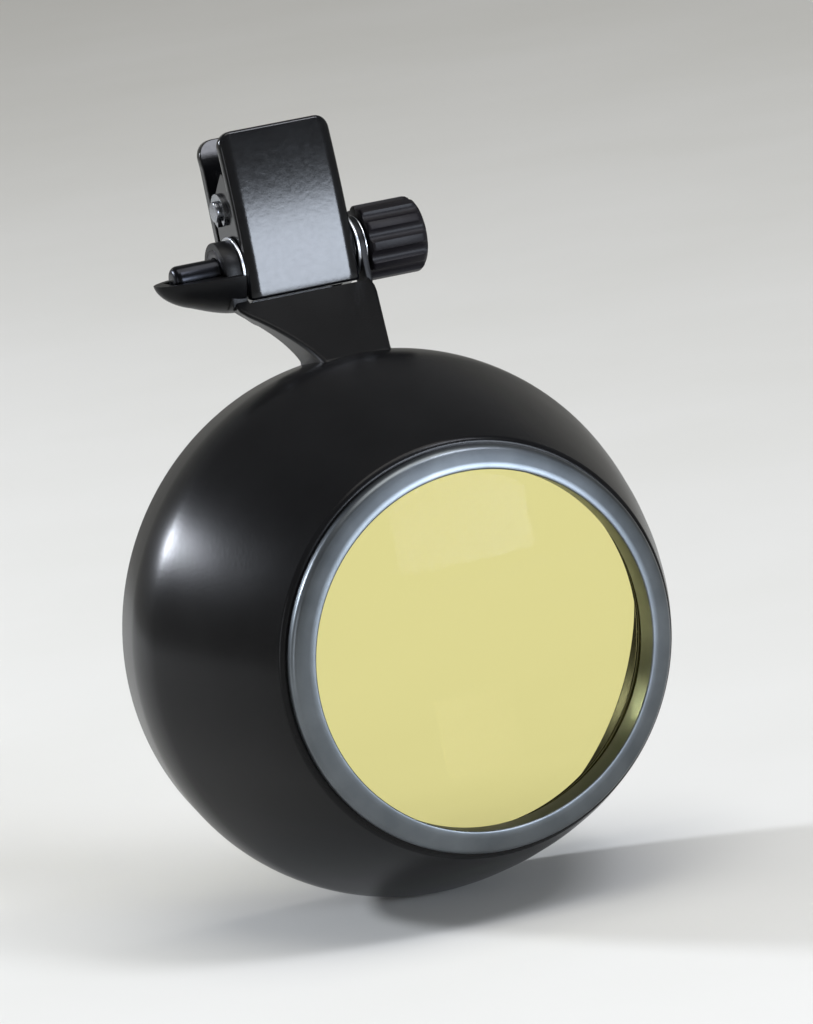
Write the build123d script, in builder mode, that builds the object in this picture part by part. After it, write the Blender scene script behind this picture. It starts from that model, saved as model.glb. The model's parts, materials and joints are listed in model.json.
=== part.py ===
from build123d import *
import math
import os

os.makedirs("parts", exist_ok=True)

# Clip-on eyeglass loupe. Lengths in millimetres, +Z up.
# The origin is the point between the clip's two pads where the rim of the glasses is held.
# The lens looks along -Y, away from the wearer, and the eye is on the +Y side.
# The hinge axle lies along X, with the knob at its +X end.

# Fits and cuts
run_gap = 0.05  # radial clearance of each turning fit, and the side clearance at the hinge
cut_past = 2.0  # how far a cut runs past the faces that it opens
reach_all = 60.0  # longer than the whole object, for trims right through a piece

# Place of the hinge axle, and of the loupe under it
clip_lean = 10.0  # degrees that the clip leans back from the loupe's upright
grip_behind_axle = 2.3
grip_below_axle = 2.6
cup_ahead_of_axle = 8.83
cup_top_below_axle = 5.72

# Eye cup, a round shell about the lens axis
cup_radius = 19.5  # at the shoulder's corner, before it is rounded
shoulder_ahead = 1.9
shoulder_round = 10.0
rim_step_in = 1.0  # how much smaller the rim is than the shoulder
rim_back = 4.0
rim_wall = 2.2
rim_round = 0.6
nose_ahead = 16.3
nose_round = 0.3
dome_bulge = 0.35
cup_wall = 1.6
seat_behind_nose = 3.2
seat_depth = 1.0

# Lens, its gasket and its ring
lens_radius = 13.1
lens_edge = 1.9
lens_curve = 75.0
lens_bevel = 0.2
lens_side_gap = 0.1
lens_lap = 0.65  # how far the seat and the ring reach in over the lens
gasket_thick = 0.5
gasket_inner_step = 0.25  # how far the gasket stands back from the aperture
ring_past_lens = 1.0
ring_land = 0.4  # flat of the nose that shows round the ring
ring_side = 0.95
ring_rise = 0.45
ring_lip = 0.35
ring_round = 0.35
ring_skirt_wall = 0.6
ring_thread_gap = 0.02

# Hinge axle stack along X
axle_radius = 1.0
clip_half_width = 4.2
sleeve_wall = 0.55
sleeve_proud = 0.05
washer_thick = 0.2
washer_radius = 2.3
right_ear_thick = 0.5
left_ear_thick = 1.2
ear_radius = 2.1
insert_radius = 1.6
screw_left_end = 9.05
screw_tip_round = 0.5
dish_height = 0.22
dish_sheet = 0.12
dish_radius = 2.1

# Tilt arm
arm_clear_radius = 3.5  # the arm's web turns outside this, round the clip
arm_lip_angle = 218.5  # degrees round the axle from +Y, where the web's upper edge starts
arm_heel_angle = 250.0  # where its lower edge starts
foot_past_shoulder = 1.2  # ahead of the cup's largest circle
foot_front_fall = 0.1  # below the cup's top
foot_rim_step = 0.1  # the foot stops this short of the rim's back
foot_sink = 1.5
foot_half_left = 2.5
foot_half_right = 2.1
neck_drop = 7.0
neck_waist_left = 3.35
neck_waist_drop = 4.75
yoke_drop = 2.6
yoke_drop_right = 2.6
link_front_radius = 6.7
link_rear_radius = 5.7
link_front_angle = 214.0
link_rear_angle = 238.0
cradle_tip = 10.4
cradle_mid = 7.9
cradle_mid_radius = 2.15
cradle_root_radius = 3.05
cradle_top_drop = 0.15
trough_end = 9.35
trough_gap = 0.1

# Screws from inside the cup into the arm's foot
arm_screw_half_pitch = 1.2
arm_screw_ahead_of_rim = 1.6
arm_screw_radius = 0.5
arm_screw_grip = 3.4
arm_screw_head_radius = 0.95
arm_screw_head_high = 0.6
arm_screw_slot = 0.25
arm_screw_slot_deep = 0.25
spot_radius = 1.05
spot_below_rim = 0.75

# Knob
knob_radius = 2.75
knob_length = 4.35
knob_groove_radius = 0.6
knob_groove_deep = 0.3
knob_grooves = 11
knob_outer_chamfer = 0.5
knob_inner_chamfer = 0.2
knob_web = 0.45  # wall between the knob's inner face and the screw's head
head_radius = 1.5
head_length = 3.0
cap_radius = 1.45
cap_thick = 0.45
cap_round = 0.15

# Front jaw, measured from the axle along the leaning clip
plate_ahead = 2.0
plate_below = 2.5
plate_above = 9.5
plate_bulge = 0.3
plate_sheet = 0.8
plate_side_round = 0.7
plate_corner = 1.0
plate_foot_corner = 0.2
cheek_sheet = 0.8
axle_boss = 2.05
pin_boss = 1.3
strip_boss = 0.4
strip_low = 1.9
strip_high = 6.3
toe_boss = 0.5
toe_low = 2.3
toe_back_step = 0.1

# Jaw tips, pads and rear jaw
tip_low = 3.9
tip_high = 1.75
tip_taper = 1.8  # each side, from the plate's width to the tip's end
tip_corner = 0.8
tongue_sheet = 0.7
pad_thick = 0.45
pad_inset = 0.35
grip_gap = 0.2
rear_sheet = 0.7
rear_face_behind = 2.3  # front face of the rear jaw's finger plate, behind the axle
rear_step_low = 0.9
rear_step_high = 0.7
rear_top_below_plate = 0.1
rear_corner = 1.3
rear_bend = 0.6
rear_cheek_gap = 0.2  # to the front jaw's cheeks
rear_cheek_sheet = 0.7
rear_cheek_boss = 1.15
rear_cheek_foot = 0.3
rear_cheek_half = 1.7

# Jaw pin, its clip and the spring
pin_behind_axle = 0.5
pin_above_axle = 4.2
pin_radius = 0.75
pin_head_radius = 1.05
pin_head_high = 0.22
pin_head_round = 0.1
pin_left_past = 0.6
pin_groove_depth = 0.25
pin_clip_radius = 1.25
pin_clip_thick = 0.25
pin_clip_mouth = 0.8
spring_wire = 0.25  # radius of the wire
spring_radius = 1.2  # to the middle of the wire
spring_pitch = 0.96
spring_turns = 3
spring_leg = 3.0

# Sizes that follow: the ring and the nose from the lens, the rim and the foot from the cup
aperture_radius = lens_radius - lens_lap
ring_bore = lens_radius - lens_lap
ring_radius = lens_radius + ring_past_lens
nose_radius = ring_radius + ring_land
seat_ahead = nose_ahead - seat_behind_nose
rim_radius = cup_radius - rim_step_in
spot_height = rim_radius - spot_below_rim  # above the lens axis
cup_below_axle = cup_radius + cup_top_below_axle
foot_front = cup_ahead_of_axle + foot_past_shoulder
foot_front_drop = cup_top_below_axle + foot_front_fall
foot_rear = cup_ahead_of_axle - rim_back + foot_rim_step
foot_rear_drop = cup_top_below_axle + rim_step_in

# Sizes that follow the clip's width
tip_half_low = clip_half_width - tip_taper
rear_cheek_out = clip_half_width - cheek_sheet - rear_cheek_gap

# Places that follow
lean = math.radians(clip_lean)
axle_y = grip_below_axle * math.sin(lean) - grip_behind_axle * math.cos(lean)
axle_z = grip_below_axle * math.cos(lean) + grip_behind_axle * math.sin(lean)
cup_y = axle_y - cup_ahead_of_axle
cup_z = axle_z - cup_below_axle

axle_point = (0, axle_y, axle_z)
cup_point = (0, cup_y, cup_z)
cup_axis = Axis(cup_point, (0, -1, 0))
axle_axis = Axis(axle_point, (1, 0, 0))
back_dir = (0, math.cos(lean), -math.sin(lean))
front_dir = (0, -math.cos(lean), math.sin(lean))

# Sketch planes: x is the radius and y runs ahead on cup_meridian; x runs along the axle and
# y is the radius on axle_meridian; clip_side and arm_side look along X at the axle, the first
# with the clip's lean; clip_front looks at the clip's plate squarely.
cup_meridian = Plane(origin=cup_point, x_dir=(1, 0, 0), z_dir=(0, 0, -1))
cup_front = Plane(origin=cup_point, x_dir=(1, 0, 0), z_dir=(0, -1, 0))
axle_meridian = Plane(origin=axle_point, x_dir=(1, 0, 0), z_dir=(0, -1, 0))
clip_side = Plane(origin=axle_point, x_dir=back_dir, z_dir=(1, 0, 0))
clip_front = Plane(origin=axle_point, x_dir=(1, 0, 0), z_dir=front_dir)
arm_side = Plane(origin=axle_point, x_dir=(0, 1, 0), z_dir=(1, 0, 0))


def finish(piece, name):
    """Label a finished piece and write its file."""
    piece.label = name
    export_step(piece, f"parts/{name}.step")


def around(radius, angle):
    """A point at a radius and an angle in degrees round a sketch's origin."""
    turn = math.radians(angle)
    return (radius * math.cos(turn), radius * math.sin(turn))


# Eye cup: the outer form alone, which the arm's foot is cut to as well
def cup_outer_radius(ahead):
    share = (ahead - shoulder_ahead) / (nose_ahead - shoulder_ahead)
    return cup_radius + (nose_radius - cup_radius) * share


with BuildPart() as cup_form:
    with BuildSketch(cup_meridian) as cup_half:
        with BuildLine():
            back = Line((0, -rim_back), (rim_radius, -rim_back))
            skirt = Line(back @ 1, (cup_radius, shoulder_ahead))
            dome = SagittaArc(skirt @ 1, (nose_radius, nose_ahead), -dome_bulge)
            nose = Line(dome @ 1, (0, nose_ahead))
            Line(nose @ 1, back @ 0)
        make_face()
        fillet(cup_half.vertices().sort_by_distance((cup_radius, shoulder_ahead))[0], shoulder_round)
        fillet(cup_half.vertices().sort_by_distance((nose_radius, nose_ahead))[0], nose_round)
        fillet(cup_half.vertices().sort_by_distance((rim_radius, -rim_back))[0], rim_round)
    revolve(axis=cup_axis)

bore_radius = lens_radius + lens_side_gap
inner_end = seat_ahead - seat_depth
arm_screw_y = cup_y + rim_back - arm_screw_ahead_of_rim
arm_screws_plane = Plane(origin=(0, arm_screw_y, cup_z + spot_height), z_dir=(0, 0, 1))
arm_screw_spots = [(-arm_screw_half_pitch, 0), (arm_screw_half_pitch, 0)]

with BuildPart() as eye_cup:
    add(cup_form.part)
    with BuildSketch(cup_meridian) as hollow:
        with BuildLine():
            mouth = Line((0, -rim_back - cut_past), (rim_radius - rim_wall, -rim_back - cut_past))
            Polyline(
                mouth @ 1,
                (rim_radius - rim_wall, -rim_back),
                (cup_radius - cup_wall, shoulder_ahead),
                (cup_outer_radius(inner_end) - cup_wall, inner_end),
                (0, inner_end),
                mouth @ 0,
            )
        make_face()
        fillet(hollow.vertices().sort_by_distance((cup_radius - cup_wall, shoulder_ahead))[0], shoulder_round)
    revolve(axis=cup_axis, mode=Mode.SUBTRACT)
    with BuildSketch(cup_front):
        Circle(aperture_radius)
    extrude(amount=nose_ahead + cut_past, mode=Mode.SUBTRACT)
    with BuildSketch(cup_front.offset(seat_ahead)):
        Circle(bore_radius)
    extrude(amount=nose_ahead, mode=Mode.SUBTRACT)
    with BuildSketch(arm_screws_plane):
        with Locations(*arm_screw_spots):
            Circle(arm_screw_radius + run_gap)
    extrude(amount=cup_wall + cut_past, mode=Mode.SUBTRACT)
    with BuildSketch(arm_screws_plane):
        with Locations(*arm_screw_spots):
            Circle(spot_radius)
    extrude(amount=-cut_past, mode=Mode.SUBTRACT)
finish(eye_cup.part, "eye_cup")

# Lens: biconvex glass with a small bevel round each edge
lens_back = seat_ahead + gasket_thick
lens_front = lens_back + lens_edge
lens_sag = lens_curve - math.sqrt(lens_curve**2 - lens_radius**2)

with BuildPart() as lens:
    with BuildSketch(cup_meridian) as lens_half:
        with BuildLine():
            rear_face = SagittaArc((-lens_radius, lens_back), (lens_radius, lens_back), -lens_sag)
            rim_line = Line(rear_face @ 1, (lens_radius, lens_front))
            front_face = SagittaArc(rim_line @ 1, (-lens_radius, lens_front), -lens_sag)
            Line(front_face @ 1, rear_face @ 0)
        make_face()
        split(bisect_by=Plane.YZ, keep=Keep.TOP)
        chamfer(lens_half.vertices().sort_by_distance((lens_radius, lens_back))[0], lens_bevel)
        chamfer(lens_half.vertices().sort_by_distance((lens_radius, lens_front))[0], lens_bevel)
    revolve(axis=cup_axis)
finish(lens.part, "lens")

# Gasket: flat rubber ring on the seat, hollowed where the lens bulges into it
with BuildPart() as lens_gasket:
    with BuildSketch(cup_front.offset(seat_ahead)):
        Circle(lens_radius)
        Circle(aperture_radius + gasket_inner_step, mode=Mode.SUBTRACT)
    extrude(amount=gasket_thick)
    add(lens.part, mode=Mode.SUBTRACT)
finish(lens_gasket.part, "lens_gasket")

# Lens ring: a threaded skirt in the nose, and a face that slopes up to its inner lip
skirt_radius = bore_radius - ring_thread_gap
ring_top = nose_ahead + ring_side + ring_rise
with BuildPart() as lens_ring:
    with BuildSketch(cup_meridian) as ring_half:
        with BuildLine():
            Polyline(
                (skirt_radius - ring_skirt_wall, lens_front),
                (skirt_radius, lens_front),
                (skirt_radius, nose_ahead),
                (ring_radius, nose_ahead),
                (ring_radius, nose_ahead + ring_side),
                (ring_bore + ring_lip, ring_top),
                (ring_bore, ring_top),
                (ring_bore, nose_ahead),
                (skirt_radius - ring_skirt_wall, lens_front),
            )
        make_face()
        fillet(ring_half.vertices().sort_by_distance((ring_radius, nose_ahead + ring_side))[0], ring_round)
        fillet(ring_half.vertices().sort_by_distance((ring_bore + ring_lip, ring_top))[0], ring_lip)
    revolve(axis=cup_axis)
    add(lens.part, mode=Mode.SUBTRACT)
finish(lens_ring.part, "lens_ring")

# Hinge stack: each face along X follows from the one before it
sleeve_half = clip_half_width + sleeve_proud
washer_in = sleeve_half + run_gap
ear_in = washer_in + washer_thick
right_ear_out = ear_in + right_ear_thick
left_ear_out = ear_in + left_ear_thick
knob_in = right_ear_out + dish_height + run_gap
knob_out = knob_in + knob_length
hole_radius = axle_radius + run_gap
sleeve_radius = hole_radius + sleeve_wall


def hinge_face(x):
    """The plane square to the axle at x, whose sketch x runs back and y up."""
    return arm_side.offset(x)


# Tilt arm: web, two ears and the pointed cradle on the left
with BuildPart() as cradle:
    with BuildSketch(axle_meridian):
        with BuildLine():
            under = Spline(
                (-cradle_tip, 0),
                (-cradle_mid, cradle_mid_radius),
                (-ear_in, cradle_root_radius),
                tangents=((1, 2), (1, 0)),
            )
            Polyline(under @ 1, (-ear_in, 0), under @ 0)
        make_face()
    revolve(axis=axle_axis)
    split(bisect_by=Plane.XY.offset(axle_z - cradle_top_drop), keep=Keep.BOTTOM)

with BuildPart() as tilt_arm:
    with BuildSketch(arm_side):
        Polygon(
            around(arm_clear_radius, arm_lip_angle),
            (-foot_front, -foot_front_drop),
            (-foot_front, -foot_front_drop - foot_sink),
            (-foot_rear, -foot_rear_drop - foot_sink),
            (-foot_rear, -foot_rear_drop),
            around(arm_clear_radius, arm_heel_angle),
            align=None,
        )
    extrude(amount=cradle_tip, both=True)
    for near, thick in ((ear_in, right_ear_thick), (-ear_in, -left_ear_thick)):
        with BuildSketch(hinge_face(near)):
            Circle(ear_radius)
            Polygon(
                around(ear_radius, link_front_angle - 90),
                around(link_front_radius, link_front_angle),
                around(link_rear_radius, link_rear_angle),
                around(ear_radius, link_rear_angle + 90),
                align=None,
            )
        extrude(amount=thick)
    with BuildSketch(axle_meridian):
        with BuildLine():
            left_foot = Line((-foot_half_left, -reach_all), (-foot_half_left, -neck_drop))
            left_curve = ThreePointArc(
                left_foot @ 1, (-neck_waist_left, -neck_waist_drop), (-left_ear_out, -yoke_drop)
            )
            Polyline(
                left_curve @ 1,
                (-left_ear_out, ear_radius),
                (right_ear_out, ear_radius),
                (right_ear_out, -yoke_drop_right),
                (foot_half_right, -neck_drop),
                (foot_half_right, -reach_all),
                left_foot @ 0,
            )
        make_face()
    extrude(amount=reach_all, both=True, mode=Mode.INTERSECT)
    add(cradle.part)
    with BuildSketch(hinge_face(-ear_in)):
        Circle(arm_clear_radius)
    extrude(amount=ear_in + ear_in, mode=Mode.SUBTRACT)
    with BuildSketch(hinge_face(0)):
        Circle(hole_radius)
    extrude(amount=reach_all, mode=Mode.SUBTRACT)
    with BuildSketch(hinge_face(0)):
        Circle(insert_radius)
    extrude(amount=-left_ear_out, mode=Mode.SUBTRACT)
    with BuildSketch(hinge_face(-left_ear_out)):
        Circle(axle_radius + trough_gap)
    extrude(amount=left_ear_out - trough_end, mode=Mode.SUBTRACT)
    add(cup_form.part, mode=Mode.SUBTRACT)
    with BuildSketch(arm_screws_plane):
        with Locations(*arm_screw_spots):
            Circle(arm_screw_radius)
    extrude(amount=arm_screw_grip, mode=Mode.SUBTRACT)
finish(tilt_arm.part, "tilt_arm")

# Arm screws: pan heads against spot faces inside the cup
with BuildPart() as arm_screws:
    with BuildSketch(arm_screws_plane):
        with Locations(*arm_screw_spots):
            Circle(arm_screw_radius)
    extrude(amount=arm_screw_grip)
    with BuildSketch(arm_screws_plane):
        with Locations(*arm_screw_spots):
            Circle(arm_screw_head_radius)
    extrude(amount=-arm_screw_head_high)
    with BuildSketch(arm_screws_plane.offset(-arm_screw_head_high)):
        with Locations(*arm_screw_spots):
            Rectangle(arm_screw_slot, reach_all)
    extrude(amount=arm_screw_slot_deep, mode=Mode.SUBTRACT)
finish(arm_screws.part, "arm_screws")


# Rings on the axle: thrust washers, sleeve and threaded insert
def axle_ring(start, length, inner, outer):
    with BuildPart() as ring:
        with BuildSketch(hinge_face(start)):
            Circle(outer)
            Circle(inner, mode=Mode.SUBTRACT)
        extrude(amount=length)
    return ring.part


finish(axle_ring(washer_in, washer_thick, hole_radius, washer_radius), "thrust_washer_right")
finish(axle_ring(-ear_in, washer_thick, hole_radius, washer_radius), "thrust_washer_left")
finish(axle_ring(-sleeve_half, sleeve_half + sleeve_half, hole_radius, sleeve_radius), "axle_sleeve")
finish(axle_ring(-left_ear_out, left_ear_thick, hole_radius, insert_radius), "thread_insert")

# Spring washer: a dished disc between the right ear and the knob
with BuildPart() as spring_washer:
    with BuildSketch(axle_meridian):
        Polygon(
            (right_ear_out, dish_radius),
            (right_ear_out + dish_sheet, dish_radius),
            (right_ear_out + dish_height, hole_radius),
            (right_ear_out + dish_height - dish_sheet, hole_radius),
            align=None,
        )
    revolve(axis=axle_axis)
finish(spring_washer.part, "spring_washer")

# Tilt screw: the axle, with a rounded left end and a six-sided head inside the knob
head_in = knob_in + knob_web
with BuildPart() as tilt_screw:
    with BuildSketch(axle_meridian) as shank:
        with BuildLine():
            Polyline(
                (-screw_left_end, 0),
                (-screw_left_end, axle_radius),
                (head_in, axle_radius),
                (head_in, 0),
                (-screw_left_end, 0),
            )
        make_face()
        fillet(shank.vertices().sort_by_distance((-screw_left_end, axle_radius))[0], screw_tip_round)
    revolve(axis=axle_axis)
    with BuildSketch(hinge_face(head_in)):
        RegularPolygon(head_radius, side_count=6)
    extrude(amount=head_length)
finish(tilt_screw.part, "tilt_screw")

# Knob: grooved grip on the screw's head, closed by a cap
cap_in = knob_out - cap_thick
with BuildPart() as tilt_knob:
    with BuildSketch(hinge_face(knob_in)):
        Circle(knob_radius)
        with PolarLocations(knob_radius + knob_groove_radius - knob_groove_deep, knob_grooves):
            Circle(knob_groove_radius, mode=Mode.SUBTRACT)
    extrude(amount=knob_length)
    with BuildSketch(axle_meridian) as knob_half:
        Polygon(
            (knob_in, 0),
            (knob_in, knob_radius),
            (knob_out, knob_radius),
            (knob_out, 0),
            align=None,
        )
        chamfer(knob_half.vertices().sort_by_distance((knob_in, knob_radius))[0], knob_inner_chamfer)
        chamfer(knob_half.vertices().sort_by_distance((knob_out, knob_radius))[0], knob_outer_chamfer)
    revolve(axis=axle_axis, mode=Mode.INTERSECT)
    with BuildSketch(hinge_face(knob_in)):
        Circle(hole_radius)
    extrude(amount=knob_web, mode=Mode.SUBTRACT)
    with BuildSketch(hinge_face(head_in)):
        RegularPolygon(head_radius, side_count=6)
    extrude(amount=knob_length, mode=Mode.SUBTRACT)
    with BuildSketch(hinge_face(cap_in)):
        Circle(cap_radius)
    extrude(amount=cap_thick, mode=Mode.SUBTRACT)
finish(tilt_knob.part, "tilt_knob")

with BuildPart() as knob_cap:
    with BuildSketch(hinge_face(cap_in)):
        Circle(cap_radius)
    extrude(amount=cap_thick)
    fillet(knob_cap.faces().sort_by(Axis.X)[-1].edges(), cap_round)
finish(knob_cap.part, "knob_cap")

# Jaw tips: the outline of both gripping ends, seen squarely from the front
pin_point = (pin_behind_axle, pin_above_axle)


def tip_corners(inset):
    """Corners of a jaw's tapered tip, drawn in from its edge by the inset."""
    return [
        (inset - clip_half_width, -tip_high - inset),
        (-tip_half_low + inset, -tip_low + inset),
        (tip_half_low - inset, -tip_low + inset),
        (clip_half_width - inset, -tip_high - inset),
    ]


front_pad_face = grip_behind_axle - grip_gap / 2
rear_pad_face = grip_behind_axle + grip_gap / 2
tongue_back = front_pad_face - pad_thick
tongue_front = tongue_back - tongue_sheet
rear_tip_face = rear_pad_face + pad_thick

# Front jaw: bulged plate, two cheeks behind it, and the tongue between them that grips
with BuildPart() as front_jaw:
    with BuildSketch(clip_side):
        with BuildLine():
            face = SagittaArc((-plate_ahead, plate_above), (-plate_ahead, -plate_below), -plate_bulge)
            foot = Line(face @ 1, (plate_sheet - plate_ahead, -plate_below))
            inside = SagittaArc(foot @ 1, (plate_sheet - plate_ahead, plate_above), plate_bulge)
            Line(inside @ 1, face @ 0)
        make_face()
    extrude(amount=clip_half_width, both=True)
    fillet(
        front_jaw.edges().filter_by(GeomType.CIRCLE).group_by(Axis(axle_point, front_dir))[-1],
        plate_side_round,
    )
    with BuildSketch(clip_front) as plate_outline:
        with Locations((0, (plate_above - plate_below) / 2)):
            Rectangle(clip_half_width * 2, plate_above + plate_below)
        fillet(plate_outline.vertices().group_by(Axis.Y)[-1], plate_corner)
        fillet(plate_outline.vertices().group_by(Axis.Y)[0], plate_foot_corner)
    extrude(amount=reach_all, both=True, mode=Mode.INTERSECT)
    for outer in (clip_half_width, cheek_sheet - clip_half_width):
        with BuildSketch(clip_side.offset(outer)):
            Circle(axle_boss)
            with Locations(pin_point):
                Circle(pin_boss)
            strip_behind = plate_sheet - plate_ahead
            with Locations((strip_behind, -strip_low), (strip_behind, strip_high)):
                Circle(strip_boss)
            with Locations((tongue_back - toe_boss - toe_back_step, -toe_low)):
                Circle(toe_boss)
            make_hull()
        extrude(amount=-cheek_sheet)
    with BuildSketch(clip_front.offset(-tongue_back)) as tongue:
        Polygon(*tip_corners(0), align=None)
        fillet(tongue.vertices().group_by(Axis.Y)[0], tip_corner)
    extrude(amount=tongue_sheet)
    with BuildSketch(hinge_face(-reach_all)):
        Circle(sleeve_radius)
    extrude(amount=reach_all * 2, mode=Mode.SUBTRACT)
    with BuildSketch(clip_side.offset(-reach_all)):
        with Locations(pin_point):
            Circle(pin_radius)
    extrude(amount=reach_all * 2, mode=Mode.SUBTRACT)
finish(front_jaw.part, "front_jaw")

# Rear jaw: finger plate stepped back to its tip, with two cheeks on the pin
rear_top = plate_above - rear_top_below_plate
with BuildPart() as rear_jaw:
    with BuildSketch(clip_side) as rear_profile:
        with BuildLine():
            Polyline(
                (rear_tip_face, -tip_low),
                (rear_tip_face, -rear_step_low),
                (rear_face_behind, rear_step_high),
                (rear_face_behind, rear_top),
                (rear_face_behind + rear_sheet, rear_top),
                (rear_face_behind + rear_sheet, rear_step_high),
                (rear_tip_face + rear_sheet, -rear_step_low),
                (rear_tip_face + rear_sheet, -tip_low),
                (rear_tip_face, -tip_low),
            )
        make_face()
        for bend in (-rear_step_low, rear_step_high):
            fillet(
                rear_profile.vertices().filter_by_position(Axis.Y, bend, bend),
                rear_bend,
            )
    extrude(amount=clip_half_width, both=True)
    with BuildSketch(clip_front) as rear_outline:
        with BuildLine():
            Polyline(
                (-clip_half_width, rear_top),
                (-clip_half_width, -tip_high + rear_bend),
                (-tip_half_low, -tip_low),
                (tip_half_low, -tip_low),
                (clip_half_width, -tip_high + rear_bend),
                (clip_half_width, rear_top),
                (-clip_half_width, rear_top),
            )
        make_face()
        fillet(rear_outline.vertices().group_by(Axis.Y)[-1], rear_corner)
        fillet(rear_outline.vertices().group_by(Axis.Y)[0], tip_corner)
    extrude(amount=reach_all, both=True, mode=Mode.INTERSECT)
    for outer in (rear_cheek_out, rear_cheek_sheet - rear_cheek_out):
        with BuildSketch(clip_side.offset(outer)):
            with Locations(pin_point):
                Circle(rear_cheek_boss)
            for side in (-1, 1):
                with Locations((rear_face_behind, pin_above_axle + side * rear_cheek_half)):
                    Circle(rear_cheek_foot)
            make_hull()
        extrude(amount=-rear_cheek_sheet)
    with BuildSketch(clip_side.offset(-reach_all)):
        with Locations(pin_point):
            Circle(pin_radius + run_gap)
    extrude(amount=reach_all * 2, mode=Mode.SUBTRACT)
finish(rear_jaw.part, "rear_jaw")


# Pads: soft facings on the two tips
def grip_pad(face_behind, towards_back):
    with BuildPart() as pad:
        with BuildSketch(clip_front.offset(-face_behind)) as shape:
            Polygon(*tip_corners(pad_inset), align=None)
            fillet(shape.vertices().group_by(Axis.Y)[0], tip_corner - pad_inset)
        extrude(amount=-pad_thick if towards_back else pad_thick)
    return pad.part


finish(grip_pad(front_pad_face, False), "front_pad")
finish(grip_pad(rear_pad_face, True), "rear_pad")

# Jaw pin: low head on the right, grooved end for the clip on the left
pin_left_end = clip_half_width + pin_left_past
with BuildPart() as jaw_pin:
    with BuildSketch(clip_side.offset(clip_half_width)):
        with Locations(pin_point):
            Circle(pin_radius)
    extrude(amount=-clip_half_width - pin_left_end)
    with BuildSketch(clip_side.offset(-clip_half_width)):
        with Locations(pin_point):
            Circle(pin_radius)
            Circle(pin_radius - pin_groove_depth, mode=Mode.SUBTRACT)
    extrude(amount=-pin_clip_thick, mode=Mode.SUBTRACT)
    with BuildSketch(clip_side.offset(clip_half_width)):
        with Locations(pin_point):
            Circle(pin_head_radius)
    extrude(amount=pin_head_high)
    fillet(jaw_pin.faces().sort_by(Axis.X)[-1].edges(), pin_head_round)
    fillet(jaw_pin.faces().sort_by(Axis.X)[0].edges(), pin_head_round)
finish(jaw_pin.part, "jaw_pin")

with BuildPart() as pin_clip:
    with BuildSketch(clip_side.offset(-clip_half_width)):
        with Locations(pin_point):
            Circle(pin_clip_radius)
            Circle(pin_radius - pin_groove_depth, mode=Mode.SUBTRACT)
        with Locations((pin_behind_axle, pin_above_axle - pin_clip_radius)):
            Rectangle(pin_clip_mouth, pin_clip_radius * 2, mode=Mode.SUBTRACT)
    extrude(amount=-pin_clip_thick)
finish(pin_clip.part, "pin_clip")


# Jaw spring: one wire wound round the pin, with a straight leg up behind each finger plate
def coil_point(turn):
    """Point and direction of the coil after a number of turns, in the clip's side view."""
    angle = 2 * math.pi * turn
    x = (turn - spring_turns / 2 - 0.25) * spring_pitch
    back = pin_behind_axle - spring_radius * math.cos(angle)
    up = pin_above_axle - spring_radius * math.sin(angle)
    rise = spring_pitch / (2 * math.pi)
    place = clip_side.from_local_coords(Vector(back, up, x))
    heading = Vector(spring_radius * math.sin(angle), -spring_radius * math.cos(angle), rise)
    tip = clip_side.from_local_coords(Vector(back, up, x) + heading)
    return place, (tip - place).normalized()


def biarc(start, start_dir, end, end_dir):
    """Two tangent arcs from one point and direction to the next."""
    gap = end - start
    both = start_dir + end_dir
    square = 2 * (1 - start_dir.dot(end_dir))
    step = gap.dot(both) * 2
    length = (math.sqrt(step**2 + 4 * square * gap.dot(gap)) - step) / (2 * square)
    middle = (start + end + (start_dir - end_dir) * length) * 0.5
    first = TangentArc(start, middle, tangent=start_dir)
    TangentArc(middle, end, tangent=first % 1)


coil_stops = 2 * spring_turns + 1  # half turns; the odd one puts the legs behind the two plates
stops = [coil_point(half / 2) for half in range(coil_stops + 1)]
with BuildPart() as jaw_spring:
    with BuildLine() as wire_path:
        first_place, first_dir = stops[0]
        Line(first_place - first_dir * spring_leg, first_place)
        for (near, near_dir), (far, far_dir) in zip(stops, stops[1:]):
            biarc(near, near_dir, far, far_dir)
        last_place, last_dir = stops[-1]
        Line(last_place, last_place + last_dir * spring_leg)
    path = wire_path.wire()
    with BuildSketch(Plane(origin=path @ 0, z_dir=path % 0)):
        Circle(spring_wire)
    sweep(path=path)
finish(jaw_spring.part, "jaw_spring")

# Least gap of the wire to itself, on points a twentieth of a turn apart
samples = [path @ (k / 400) for k in range(401)]
spacing = path.length / 400
apart = int(2 * math.pi * spring_radius / 2 / spacing)
least = min(
    (samples[i] - samples[j]).length
    for i in range(len(samples))
    for j in range(i + apart, len(samples))
)
print("jaw spring: least gap of the wire to itself", round(least - 2 * spring_wire, 3), "mm")
print("jaw spring: volume over section times length",
      round(jaw_spring.part.volume / (math.pi * spring_wire**2 * path.length), 4))
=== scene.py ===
# %% [markdown]
# # A clip-on loupe for glasses
#
# A loupe is a strong magnifier that a watchmaker or a mender wears in front of one eye. This one
# hangs from a sprung clip on the rim of a pair of glasses, and tilts up out of the way on a hinge.
# The construction comes ready as a fixed frame: every piece has its real size and its own body.
# This lesson dresses it. First comes the frame, so that everything else can be placed by it.

# %% Load the frame
import json
import math

import bmesh
import bpy
from mathutils import Matrix, Vector, geometry


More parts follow.
